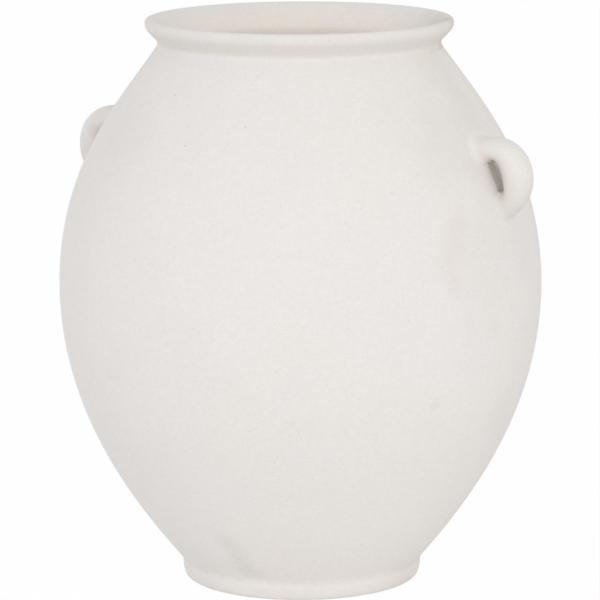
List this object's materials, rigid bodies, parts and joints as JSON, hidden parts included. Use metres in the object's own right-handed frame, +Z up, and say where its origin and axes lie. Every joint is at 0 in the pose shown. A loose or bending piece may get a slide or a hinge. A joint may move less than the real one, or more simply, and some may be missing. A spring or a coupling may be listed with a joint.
{
  "type": "stoneware vase",
  "caption": "Large matte stoneware vase: ovoid body, flared rolled rim, low foot ring and small loop handles on the shoulder.",
  "frame": {"origin": "centre of the foot's underside, on the ground", "axes": "+Z up along the vase's axis; +X through handle_right, -X through handle_left"},
  "size_m": [0.3416, 0.3252, 0.38],
  "materials": {
    "stoneware": "matte, unglazed, off-white, very finely speckled"
  },
  "bodies": {
    "root": {"vessel_body": "stoneware", "rim_collar": "stoneware", "foot_ring": "stoneware", "handle_right": "stoneware", "handle_left": "stoneware"}
  },
  "joints": []
}
